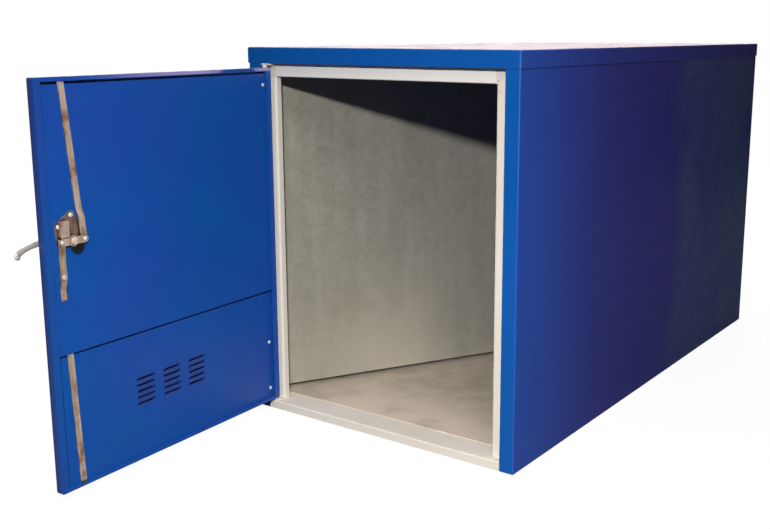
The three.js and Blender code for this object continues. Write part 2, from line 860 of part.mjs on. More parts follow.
function lowerRod() {
  const joggle = lowerRodPlan.pin.y - spindleHeight + linerJoggle;
  return flatBar(lowerRodPlan, [
    [rodBack, -rodEnd],
    [rodBack, joggle],
    [lowerRodBack, joggle + joggleRun],
    [lowerRodBack, lowerRodPlan.lengthTo(leafBottom + rodInset)],
  ]);
}

function doorParts(end) {
  return [
    toMesh(`${end}_door_skin`, doorSkin(), 'blue'),
    toMesh(`${end}_door_upper_liner`, upperLiner(), 'blue'),
    toMesh(`${end}_door_lower_liner`, lowerLiner(), 'blue'),
    toMesh(`${end}_door_top_bush`, pivotBushing(true), 'plated'),
    toMesh(`${end}_door_bottom_bush`, pivotBushing(false), 'plated'),
    toMesh(`${end}_lock_mount`, lockMount(), 'plated'),
    toMesh(`${end}_lock_case`, lockCase(), 'plated'),
    toMesh(`${end}_lock_barrel`, lockBarrel(), 'black'),
    toMesh(`${end}_handle_rose`, rose(), 'chrome'),
    toMesh(`${end}_handle_lever`, leverHandle(), 'chrome'),
    toMesh(`${end}_handle_spindle`, spindle(), 'plated'),
    toMesh(`${end}_lock_cam`, cam(), 'plated'),
    toMesh(`${end}_upper_rod`, upperRod(), 'plated'),
    toMesh(`${end}_lower_link`, lowerLink(), 'plated'),
    toMesh(`${end}_lower_rod`, lowerRod(), 'plated'),
  ];
}

function frameParts(end) {
  return [
    toMesh(`${end}_header`, header(), 'blue'),
    toMesh(`${end}_hinge_jamb`, jamb(-1), 'cream'),
    toMesh(`${end}_lock_jamb`, jamb(1), 'cream'),
    toMesh(`${end}_top_rail`, topRail(), 'cream'),
    toMesh(`${end}_sill`, sill(), 'cream'),
    toMesh(`${end}_top_pivot`, pivotBracket(true), 'cream'),
    toMesh(`${end}_bottom_pivot`, pivotBracket(false), 'cream'),
  ];
}

// One end of the cabinet, with its door swung open by the angle.
function cabinetEnd(end, doorAngle) {
  const group = new THREE.Group();
  group.add(...frameParts(end));
  const swing = new THREE.Group();
  swing.position.set(pivotX, pivotY, 0);
  swing.rotation.z = -doorAngle;
  const leaf = new THREE.Group();
  leaf.position.set(-pivotX, -pivotY, 0);
  leaf.add(...doorParts(end));
  swing.add(leaf);
  group.add(swing);
  return group;
}

const group = new THREE.Group();
group.add(
  toMesh('roof_cap', roofCap(), 'blue'),
  toMesh('right_side_panel', sidePanel(1), 'blue'),
  toMesh('left_side_panel', sidePanel(-1), 'blue'),
  toMesh('floor_panel', floorPanel(), 'galvanized'),
  toMesh('middle_bearer', bearer(0), 'galvanized'),
  toMesh('front_bearer', bearer(-bearerSpacing), 'galvanized'),
  toMesh('rear_bearer', bearer(bearerSpacing), 'galvanized'),
  toMesh('dividing_wall', dividingWall(), 'galvanized'),
);
group.add(cabinetEnd('front', frontDoorAngle));
const rearEnd = cabinetEnd('rear', 0);
rearEnd.rotation.z = Math.PI;
group.add(rearEnd);

export default group;
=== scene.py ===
"""Bicycle locker: a sheet-steel cabinet for two bicycles with a louvred, rod-locked door at each end.

The solids come from the frame. This script gives them their finishes, adds the screws, rivets and
trim, and sets the floor, the lights and the camera. Lengths are metres unless a name says otherwise.
"""

import json
import logging
import math
from dataclasses import dataclass, field, fields, replace
from enum import Enum
from functools import cached_property
from typing import Sequence

import bmesh
import bpy
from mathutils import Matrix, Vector


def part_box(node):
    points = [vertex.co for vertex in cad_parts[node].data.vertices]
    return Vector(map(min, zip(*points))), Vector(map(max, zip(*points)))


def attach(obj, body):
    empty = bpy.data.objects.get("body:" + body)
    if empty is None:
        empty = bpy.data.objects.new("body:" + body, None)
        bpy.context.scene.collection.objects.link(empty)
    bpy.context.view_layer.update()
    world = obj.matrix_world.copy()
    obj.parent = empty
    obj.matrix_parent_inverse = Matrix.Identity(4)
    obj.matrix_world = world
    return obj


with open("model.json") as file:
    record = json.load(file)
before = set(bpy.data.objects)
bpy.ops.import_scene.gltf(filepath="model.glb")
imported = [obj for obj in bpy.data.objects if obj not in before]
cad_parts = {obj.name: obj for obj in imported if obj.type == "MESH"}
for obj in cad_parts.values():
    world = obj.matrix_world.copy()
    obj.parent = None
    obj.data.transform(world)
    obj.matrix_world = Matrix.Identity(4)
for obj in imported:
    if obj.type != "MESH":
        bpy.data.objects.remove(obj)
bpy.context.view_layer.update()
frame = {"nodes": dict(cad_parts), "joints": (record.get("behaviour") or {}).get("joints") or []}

log = logging.getLogger("bicycle_locker")

MM = 0.001

Colour = tuple[float, float, float]
Place = tuple[float, float, float]
# Where something starts and where it is full, or its two ends.
Span = tuple[float, float]
Inputs = dict[str | int, object]
Socket = bpy.types.NodeSocket
Tree = bpy.types.NodeTree
Material = bpy.types.Material
Piece = bpy.types.Object


class Slot(Enum):
    """The record's material slots, which the trim lists but does not use."""

    CREAM = "cream_coat"
    GALVANIZED = "galvanized"
    PLATED = "plated"


class Head(Enum):
    """The kinds of fastener head."""

    CROSS = "cross"
    RIVET = "rivet"


@dataclass(frozen=True)
class Cloud:
    """A cloudy mask: features in a metre, finer layers, and the noise where it starts and is full."""

    scale: float
    detail: float
    start: float
    full: float
    ends: Span = (0.0, 1.0)


class Wiring:
    """Adds nodes to one node tree and joins their sockets."""

    def __init__(self, tree: Tree) -> None:
        """Works on a tree."""
        self.tree = tree

    def node(self, kind: str, inputs: Inputs | None = None, **settings: object) -> bpy.types.Node:
        """Adds a node.

        Args:
            kind: the node's type name.
            inputs: for each input's name or number, a value or the socket that feeds it.
            settings: the node's own properties.

        Returns:
            The new node.
        """
        made = self.tree.nodes.new(kind)
        for name, value in settings.items():
            setattr(made, name, value)
        for key, value in (inputs or {}).items():
            self.feed(made.inputs[key], value)
        return made

    def feed(self, socket: Socket, value: object) -> None:
        """Joins or sets one input.

        Args:
            socket: the input.
            value: a socket to join to it, or its own value.
        """
        if isinstance(value, Socket):
            self.tree.links.new(value, socket)
        else:
            socket.default_value = value

    def math(self, operation: str, *values: object) -> Socket:
        """Works out a number from one to three numbers or sockets."""
        return self.node("ShaderNodeMath", dict(enumerate(values)), operation=operation).outputs[0]

    def times(self, *values: object) -> Socket:
        """Multiplies.

        Args:
            values: two or more numbers or sockets.

        Returns:
            The socket with the product.
        """
        product, *others = values
        for value in others:
            product = self.math("MULTIPLY", product, value)
        return product

    def ramp(self, value: object, low: float, high: float, to: Span = (0.0, 1.0)) -> Socket:
        """Maps a range of values smoothly to another.

        Args:
            value: the number or socket that is mapped.
            low: the value that gives the first end.
            high: the value that gives the second end.
            to: the two ends.

        Returns:
            The socket that gives the result.
        """
        inputs = {"Value": value, "From Min": low, "From Max": high, "To Min": to[0], "To Max": to[1]}
        made = self.node("ShaderNodeMapRange", inputs, interpolation_type="SMOOTHSTEP")
        return made.outputs["Result"]

    def blend(self, factor: object, first: object, second: object) -> Socket:
        """Mixes two colours, or their sockets, by how much of the second shows."""
        inputs = {0: factor, 6: rgba(first), 7: rgba(second)}
        return self.node("ShaderNodeMix", inputs, data_type="RGBA").outputs[2]

    def noise(self, scale: object, detail: float, place: Socket | None = None) -> Socket:
        """Adds noise from 0 to 1, with some features in a metre and some finer layers."""
        inputs = {"Vector": place or self.place, "Scale": scale, "Detail": detail}
        return self.node("ShaderNodeTexNoise", inputs).outputs["Fac"]

    def cloud(self, cloud: Cloud, ends: Span | None = None) -> Socket:
        """Adds a cloudy mask, between its own ends or others."""
        noise = self.noise(cloud.scale, cloud.detail)
        return self.ramp(noise, cloud.start, cloud.full, ends or cloud.ends)

    def vector(self, operation: str, inputs: Inputs, result: str) -> Socket:
        """Works on vectors and gives one result."""
        return self.node("ShaderNodeVectorMath", inputs, operation=operation).outputs[result]

    def parts(self, vector: Socket) -> list[Socket]:
        """The X, Y and Z of a vector."""
        return list(self.node("ShaderNodeSeparateXYZ", {"Vector": vector}).outputs)

    @cached_property
    def place(self) -> Socket:
        """The place on the object, in the object's own space."""
        return self.node("ShaderNodeTexCoord").outputs["Object"]


def rgba(colour: object) -> object:
    """Gives a colour its fourth number, and leaves a socket as it is."""
    return colour if isinstance(colour, Socket) else (*colour, 1.0)


class EffectGroup(Wiring):
    """A shader node group that works out one number."""

    def __init__(self, name: str, result: str, **usual: float) -> None:
        """Starts the group.

        Args:
            name: the group's name.
            result: the name of its output.
            usual: its inputs and their usual values.
        """
        super().__init__(bpy.data.node_groups.new(name, "ShaderNodeTree"))
        self.result = result
        new_socket = self.tree.interface.new_socket
        for label, value in usual.items():
            socket = new_socket(label.title(), in_out="INPUT", socket_type="NodeSocketFloat")
            socket.default_value = value
        new_socket(result, in_out="OUTPUT", socket_type="NodeSocketFloat")
        given = self.node("NodeGroupInput").outputs
        self.given = {label: given[label.title()] for label in usual}

    def give(self, value: Socket) -> Tree:
        """Joins the result to the output and hands over the group."""
        self.node("NodeGroupOutput", {self.result: value})
        return self.tree


@dataclass
class Effects:
    """The effects that several finishes share, each a node group that is built once."""

    groups: dict[str, Tree] = field(default_factory=dict)
    wave_weight: float = 30.0
    edge_match: Span = (0.995, 0.8)
    edge_lightening: Cloud = Cloud(34.0, 4, 0.42, 0.66)
    facing_up: Span = (0.3, 0.95)
    splash_height: Span = (0.3, 0.0)
    clouding: Cloud = Cloud(7.0, 6, 0.3, 0.75)
    specks: Cloud = Cloud(90.0, 3, 0.35, 0.7)
    flake_share: float = 0.7
    shading_scale: float = 30.0
    streak_noise: Span = (0.32, 0.68)

    def build(self) -> None:
        """Builds every group."""
        self.groups = {
            "peel": self._peel(),
            "wear": self._wear(),
            "dust": self._dust(),
            "spangle": self._spangle(),
            "streaks": self._streaks(),
        }

    def _peel(self) -> Tree:
        """The soft ripple of powder coat over the slow wave of thin sheet.

        Returns:
            The group.
        """
        group = EffectGroup("coat_ripple", "Height", ripple=260.0, wave=1.6, depth=0.5)
        ripple = group.noise(group.given["ripple"], 1)
        wave = group.noise(group.given["wave"], 0)
        scaled = group.times(ripple, group.given["depth"])
        return group.give(group.math("MULTIPLY_ADD", wave, self.wave_weight, scaled))

    def _wear(self) -> Tree:
        """Edges and corners lightened, partly as wear and partly as a painted highlight, broken by noise.

        Returns:
            The group.
        """
        group = EffectGroup("worn_and_highlit_edges", "Mask", reach=2 * MM, amount=0.5)
        rounded = group.node("ShaderNodeBevel", {"Radius": group.given["reach"]}, samples=6)
        normal = group.node("ShaderNodeNewGeometry").outputs["True Normal"]
        match = group.vector("DOT_PRODUCT", {0: rounded.outputs["Normal"], 1: normal}, "Value")
        edge = group.ramp(match, *self.edge_match)
        return group.give(group.times(edge, group.cloud(self.edge_lightening), group.given["amount"]))

    def _dust(self) -> Tree:
        """Dust on what faces up and on what is near the ground.

        Returns:
            The group.
        """
        group = EffectGroup("settled_dust", "Mask", amount=0.3, splash=0.12)
        up = group.parts(group.node("ShaderNodeNewGeometry").outputs["Normal"])[2]
        height = group.parts(group.place)[2]
        lain = group.times(group.ramp(up, *self.facing_up), group.given["amount"])
        splash = group.times(group.ramp(height, *self.splash_height), group.given["splash"])
        clouding = group.times(group.math("ADD", group.cloud(self.clouding), group.cloud(self.specks)), 0.5)
        return group.give(group.times(group.math("ADD", lain, splash), clouding))

    def _spangle(self) -> Tree:
        """The crystal flakes of hot-dip galvanized sheet.

        Returns:
            The group.
        """
        group = EffectGroup("spangle", "Shade", flakes=70.0)
        shading = group.times(group.noise(self.shading_scale, 2), 1 - self.flake_share)
        inputs = {"Vector": group.place, "Scale": group.given["flakes"], "Randomness": 1.0}
        cells = group.node("ShaderNodeTexVoronoi", inputs).outputs["Color"]
        tone = group.times(group.parts(cells)[0], self.flake_share)
        return group.give(group.math("ADD", tone, shading))

    def _streaks(self) -> Tree:
        """Upright streaks and scratches.

        Returns:
            The group.
        """
        group = EffectGroup("streaks", "Shade", fine=60.0, length=0.04)
        flat = group.node("ShaderNodeCombineXYZ", {"X": 1.0, "Y": 1.0, "Z": group.given["length"]})
        drawn = group.vector("MULTIPLY", {0: group.place, 1: flat.outputs["Vector"]}, "Vector")
        return group.give(group.ramp(group.noise(group.given["fine"], 5, drawn), *self.streak_noise))


class Look(Wiring):
    """A material in the making: its shader, the colour laid on so far, its roughness and its relief."""

    def __init__(self, name: str, colour: Colour, effects: Effects | None = None) -> None:
        """Starts the material.

        Args:
            name: its name.
            colour: its first colour, also in a plain view.
            effects: the shared effects.
        """
        self.material = bpy.data.materials.new(name)
        self.material.use_nodes = True
        self.material.diffuse_color = rgba(colour)
        self.material.node_tree.nodes.clear()
        super().__init__(self.material.node_tree)
        self.shader = self.node("ShaderNodeBsdfPrincipled")
        self.node("ShaderNodeOutputMaterial", {"Surface": self.shader.outputs["BSDF"]})
        self.effects = effects
        self.colour = colour
        self.rough = self.height = None

    def effect(self, name: str, **values: float) -> Socket:
        """Puts in a shared effect, with some of its inputs by name."""
        inputs = {label.title(): value for label, value in values.items()}
        return self.node("ShaderNodeGroup", inputs, node_tree=self.effects.groups[name]).outputs[0]

    def cover(self, amount: object, colour: Colour) -> None:
        """Lays a colour over the last one, as much as a mask says."""
        self.colour = self.blend(amount, self.colour, colour)

    def shade(self, inputs: Inputs) -> None:
        """Joins or sets inputs of the shader."""
        for label, value in inputs.items():
            self.feed(self.shader.inputs[label], value)


@dataclass(frozen=True)
class SidePaintedLight:
    """The right side's painted light: a reflection tint, shade towards the back, a mottled reflection and
    highlights.
    """

    painted_reflection_tint: Colour
    painted_shade: Colour
    painted_darkening: Colour
    bright: Colour
    face: Span = (502.5 * MM, 504.5 * MM)
    under_lid: Span = (1169.5 * MM, 1166.5 * MM)
    shade_along: Span = (-1.1, -0.35)
    haze_on_lid: float = 0.5
    haze_on_panel: float = 0.64
    mottle_along: Span = (0.2, 0.4)
    mottle_wander: float = 0.24
    wander_scale: float = 2.6
    mottle: Cloud = Cloud(48.0, 5, 0.34, 0.66, (0.35, 0.9))
    patches: Cloud = Cloud(3.2, 3, 0.25, 0.6, (0.45, 1.0))
    hem_top: Span = (1173.5 * MM, 1172.5 * MM)
    hem_foot: Span = (1169.0 * MM, 1170.0 * MM)
    hem_along: Span = (-0.3, 0.2)
    hem_light: float = 0.35
    fold_across: Span = (503.5 * MM, 505.0 * MM)
    fold_front: Span = (-1011.5 * MM, -1012.5 * MM)
    fold_height: Span = (0.7, 1.00)
    fold_light: Span = (0.05, 0.75)

    def apply(self, look: Look) -> None:
        """Paints the reflections, shade and highlights onto the coat.

        Args:
            look: the material in the making.
        """
        across, along, height = look.parts(look.place)
        # Painted reflection: the side face is tinted lighter and more violet than the front.
        side = look.ramp(across, *self.face)
        look.cover(side, self.painted_reflection_tint)
        # Painted shade: the side darkens from the front towards the back, a little less on the lid's flange.
        panel = look.ramp(height, *self.under_lid)
        more = self.haze_on_panel - self.haze_on_lid
        depth = look.math("MULTIPLY_ADD", panel, more, self.haze_on_lid)
        look.cover(look.times(look.ramp(along, *self.shade_along), depth, side), self.painted_shade)
        # Painted reflection: dark mottled patches over the far end of the side panel.
        noise = look.noise(self.wander_scale, 2)
        bounded = look.math("MULTIPLY_ADD", noise, self.mottle_wander, along)
        far = look.times(look.ramp(bounded, *self.mottle_along), side)
        clouding = look.times(look.cloud(self.mottle), look.cloud(self.patches))
        look.cover(look.times(far, clouding, panel), self.painted_darkening)
        # Painted highlight: a light line along the lower edge of the lid's flange, towards the back.
        hem = look.times(look.ramp(height, *self.hem_top), look.ramp(height, *self.hem_foot))
        lit = look.ramp(along, *self.hem_along, (0.0, self.hem_light))
        look.cover(look.times(hem, side, lit), self.bright)
        # Painted highlight: a light line down the front fold of the side, strongest near the top.
        fold = look.times(look.ramp(across, *self.fold_across), look.ramp(along, *self.fold_front))
        glint = look.ramp(height, *self.fold_height, self.fold_light)
        look.cover(look.times(fold, glint), self.bright)


@dataclass(frozen=True)
class LeafPaintedLight:
    """A door leaf's painted light: shade at the free edge and between the louvre slots, and a sheen on the
    upper rim.
    """

    painted_shade: Colour
    painted_darkening: Colour
    rim: Colour
    free_edge: Span = (-1897.5 * MM, -1899.2 * MM)
    free_edge_depth: Span = (21 * MM, 1 * MM)
    free_edge_shade: Span = (0.22, 0.8)
    margin: Span = (-1858 * MM, -1897 * MM)
    margin_shade: float = 0.16
    rim_height: Span = (1144.0 * MM, 1146.5 * MM)
    rim_along: Span = (-1.8, -1.3)
    rim_patches: Cloud = Cloud(8.5, 1, 0.43, 0.5, (0.0, 0.95))
    louvre_foot: Span = (192 * MM, 196 * MM)
    louvre_top: Span = (288 * MM, 284 * MM)
    louvre_start: float = -1337.2 * MM
    louvre_pitch: float = 103 * MM
    louvre_end: Span = (68 * MM, 66 * MM)
    louvre_field: float = 309 * MM
    louvre_shade: float = 0.4
    inward: Place = (0.99863, 0.052336, 504.026 * MM)
    liner_depth: Span = (8.5 * MM, 9.5 * MM)

    def apply(self, look: Look) -> None:
        """Paints the shade and the sheen onto the coat.

        Args:
            look: the material in the making.
        """
        across, along, height = look.parts(look.place)
        run, rise, start = self.inward
        depth = look.math("MULTIPLY_ADD", across, run, look.math("MULTIPLY_ADD", along, rise, start))
        # Painted shade: the free edge's face is darkened, more towards the outer face, and a margin beside it
        # a little.
        painted_shade = look.ramp(depth, *self.free_edge_depth, self.free_edge_shade)
        edge = look.times(look.ramp(along, *self.free_edge), painted_shade)
        margin = look.ramp(along, *self.margin, (0.0, self.margin_shade))
        look.cover(look.math("MAXIMUM", edge, margin), self.painted_shade)
        # Painted sheen: pale lilac patches along the upper rim, as a reflection.
        rim = look.times(look.ramp(height, *self.rim_height), look.ramp(along, *self.rim_along))
        look.cover(look.times(rim, look.cloud(self.rim_patches)), self.rim)
        # Painted shade on the liner's strips between the louvre slots.
        liner = look.ramp(depth, *self.liner_depth)
        look.cover(look.times(self._louvres(look), liner, self.louvre_shade), self.painted_darkening)

    def _louvres(self, look: Look) -> Socket:
        """Marks the strips between the liner's slots.

        Args:
            look: the material in the making.

        Returns:
            The socket with the mask.
        """
        _, along, height = look.parts(look.place)
        rows = look.times(look.ramp(height, *self.louvre_foot), look.ramp(height, *self.louvre_top))
        reach = look.math("SUBTRACT", self.louvre_start, along)
        column = look.ramp(look.math("MODULO", reach, self.louvre_pitch), *self.louvre_end)
        begun = look.math("GREATER_THAN", reach, 0.0)
        going = look.math("LESS_THAN", reach, self.louvre_field)
        return look.times(rows, column, begun, going)


@dataclass(frozen=True, kw_only=True)
class Finish:
    """What every finish has, with its roughness between two ends and a fine relief."""

    name: str
    colour: Colour
    gloss: Span
    metallic: float = 0.0
    relief: float
    relief_reach: float

    def material(self, effects: Effects) -> Material:
        """Builds the material.

        Args:
            effects: the shared effects.

        Returns:
            The material.
        """
        look = Look(self.name, self.colour, effects)
        self.lay(look)
        inputs = {"Height": look.height, "Strength": self.relief, "Distance": self.relief_reach}
        normal = look.node("ShaderNodeBump", inputs).outputs["Normal"]
        look.shade({"Base Color": look.colour, "Metallic": self.metallic})
        look.shade({"Roughness": look.rough, "Normal": normal})
        return look.material

    def lay(self, look: Look) -> None:
        """Lays the colours on and leaves the roughness and the relief's height with the look.

        Args:
            look: the material in the making.
        """
        raise NotImplementedError


@dataclass(frozen=True, kw_only=True)
class PowderCoat(Finish):
    """Baked powder coat on sheet steel."""

    deep: Colour
    worn_edge_highlight: Colour
    dust: Colour
    wear: float = 0.35
    dusting: float = 0.35
    splash: float = 0.06
    shine: float = 0.5
    painted_lighting: SidePaintedLight | LeafPaintedLight | None = None
    tone: Cloud = Cloud(2.2, 3, 0.3, 0.7)
    smear: Cloud = Cloud(9.0, 5, 0.25, 0.75)
    edge_reach: float = 1.8 * MM
    dulling: float = 0.35
    ripple: float = 0.55
    relief: float = 0.35
    relief_reach: float = 0.12 * MM

    def lay(self, look: Look) -> None:
        """Lays paint, its painted light and shade, edges lightened as wear and as a painted highlight, and
        dust.

        Args:
            look: the material in the making.
        """
        look.cover(look.cloud(self.tone), self.deep)
        if self.painted_lighting:
            self.painted_lighting.apply(look)
        # Edges lightened: partly wear, partly a painted highlight where edges catch light.
        look.cover(look.effect("wear", amount=self.wear, reach=self.edge_reach), self.worn_edge_highlight)
        dust = look.effect("dust", amount=self.dusting, splash=self.splash)
        look.cover(dust, self.dust)
        look.shade({"Specular IOR Level": self.shine})
        look.rough = look.math("MULTIPLY_ADD", dust, self.dulling, look.cloud(self.smear, self.gloss))
        look.height = look.effect("peel", depth=self.ripple)


@dataclass(frozen=True, kw_only=True)
class GalvanizedSheet(Finish):
    """Galvanized steel sheet, its spangle, stains and dirt, with painted light and reflections. Its first
    colour is its bright flakes'.
    """

    dull: Colour
    pale: Colour
    lit_share: float = 0.9
    soil: Colour = (0.3, 0.26, 0.2)
    streak_and_stain_share: float = 0.22
    lit_along: Span = (-0.15, -0.65)
    lit_across: Span = (-0.43, -0.2)
    inner_lit: Span = (0.35, 1.0)
    lit_height: Span = (0.6, 0.02)
    foot_lit: Span = (0.0, 0.9)
    lit_mask: Span = (0.1, 1.1)
    patch_scale: float = 3.0
    unevenness: float = 0.4
    streak_scale: float = 13.0
    streak_length: float = 0.12
    flakes: float = 75.0
    flake_tones: Span = (0.15, 0.85)
    gloss_tones: Span = (0.1, 0.9)
    dirt: float = 0.25
    stains: Cloud = Cloud(8.0, 4, 0.5, 0.68)
    dulling: float = 0.4
    flake_relief: float = 0.5
    wave_scale: float = 1.8
    relief: float = 0.25
    relief_reach: float = 0.6 * MM

    def lay(self, look: Look) -> None:
        """Lays flakes, a painted pool of light, streaks painted lighter as reflections, stains and dust.

        Args:
            look: the material in the making.
        """
        across, along, height = look.parts(look.place)
        shade = look.effect("spangle", flakes=self.flakes)
        look.colour = self.dull
        look.cover(look.ramp(shade, *self.flake_tones), self.colour)
        # Painted light: lighter towards the front of the bay and low down, less so on the hinge side.
        low = look.ramp(height, *self.lit_height, self.foot_lit)
        cloudy = look.math("MULTIPLY_ADD", look.noise(self.patch_scale, 5), self.unevenness, low)
        inner = look.ramp(across, *self.lit_across, self.inner_lit)
        patch = look.times(cloudy, look.ramp(along, *self.lit_along), inner)
        look.cover(look.times(look.ramp(patch, *self.lit_mask), self.lit_share), self.pale)
        # Painted reflections: soft upright streaks painted lighter.
        streak = look.effect("streaks", fine=self.streak_scale, length=self.streak_length)
        look.cover(look.times(streak, self.streak_and_stain_share), self.pale)
        look.cover(look.cloud(self.stains, (0.0, self.streak_and_stain_share)), self.soil)
        dust = look.effect("dust", amount=self.dirt, splash=self.dirt)
        look.cover(dust, self.soil)
        rough = look.ramp(shade, *self.gloss_tones, self.gloss)
        look.rough = look.math("MULTIPLY_ADD", dust, self.dulling, rough)
        look.height = look.math("MULTIPLY_ADD", shade, self.flake_relief, look.noise(self.wave_scale, 0))


@dataclass(frozen=True, kw_only=True)
class ZincPlate(Finish):
    """Yellow-passivated zinc plating, drawn and stained, with painted shade in its corners and edges painted
    lighter. Its first colour is its tan.
    """

    clear: Colour
    rust: Colour
    corner_shade: Colour
    edge: Colour
    gloss: Span = (0.22, 0.4)
    metallic: float = 0.4
    streak_scale: float = 140.0
    streak_length: float = 0.05
    stains: Cloud = Cloud(26.0, 4, 0.44, 0.7)
    corner_reach: float = 14 * MM
    corner_air: Span = (0.95, 0.45)
    edge_lightening: float = 1.6
    edge_reach: float = 1.6 * MM
    grain: float = 420.0
    relief: float = 0.2
    relief_reach: float = 0.2 * MM

    def lay(self, look: Look) -> None:
        """Lays streaks, rust, painted shade in the corners, and edges lightened as a painted highlight and as
        wear.

        Args:
            look: the material in the making.
        """
        streak = look.effect("streaks", fine=self.streak_scale, length=self.streak_length)
        look.colour = self.clear
        look.cover(streak, self.colour)
        look.cover(look.cloud(self.stains), self.rust)
        # Painted shade: darker where ambient occlusion finds corners and narrow gaps.
        air = look.node("ShaderNodeAmbientOcclusion", {"Distance": self.corner_reach}, samples=8)
        look.cover(look.ramp(air.outputs["AO"], *self.corner_air), self.corner_shade)
        # Painted highlight: edges lightened to near white, with some wear.
        wear = look.effect("wear", amount=self.edge_lightening, reach=self.edge_reach)
        look.cover(look.math("MINIMUM", wear, 1.0), self.edge)
        look.rough = look.ramp(streak, 0.0, 1.0, self.gloss)
        look.height = look.noise(self.grain, 2)


@dataclass(frozen=True, kw_only=True)
class PlainMetal(Finish):
    """Plated metal with fine handling marks, such as the lever or the screws."""

    shade: Colour
    marks: Cloud = Cloud(60.0, 5, 0.35, 0.7)
    grain: float = 900.0
    relief: float = 0.12
    relief_reach: float = 0.1 * MM

    def lay(self, look: Look) -> None:
        """Lays the marks.

        Args:
            look: the material in the making.
        """
        smear = look.cloud(self.marks)
        look.cover(smear, self.shade)
        look.rough = look.ramp(smear, 0.0, 1.0, self.gloss)
        look.height = look.noise(self.grain, 2)


@dataclass(frozen=True, kw_only=True)
class MouldedBlack(Finish):
    """Black moulded plastic with a fine grain."""

    worn: Colour
    wear: float = 0.6
    edge_reach: float = 1 * MM
    grain: float = 700.0
    grain_tones: Span = (0.3, 0.7)
    relief: float = 0.3
    relief_reach: float = 0.2 * MM

    def lay(self, look: Look) -> None:
        """Lays the worn edges.

        Args:
            look: the material in the making.
        """
        look.cover(look.effect("wear", amount=self.wear, reach=self.edge_reach), self.worn)
        look.height = look.noise(self.grain, 2)
        look.rough = look.ramp(look.height, *self.grain_tones, self.gloss)


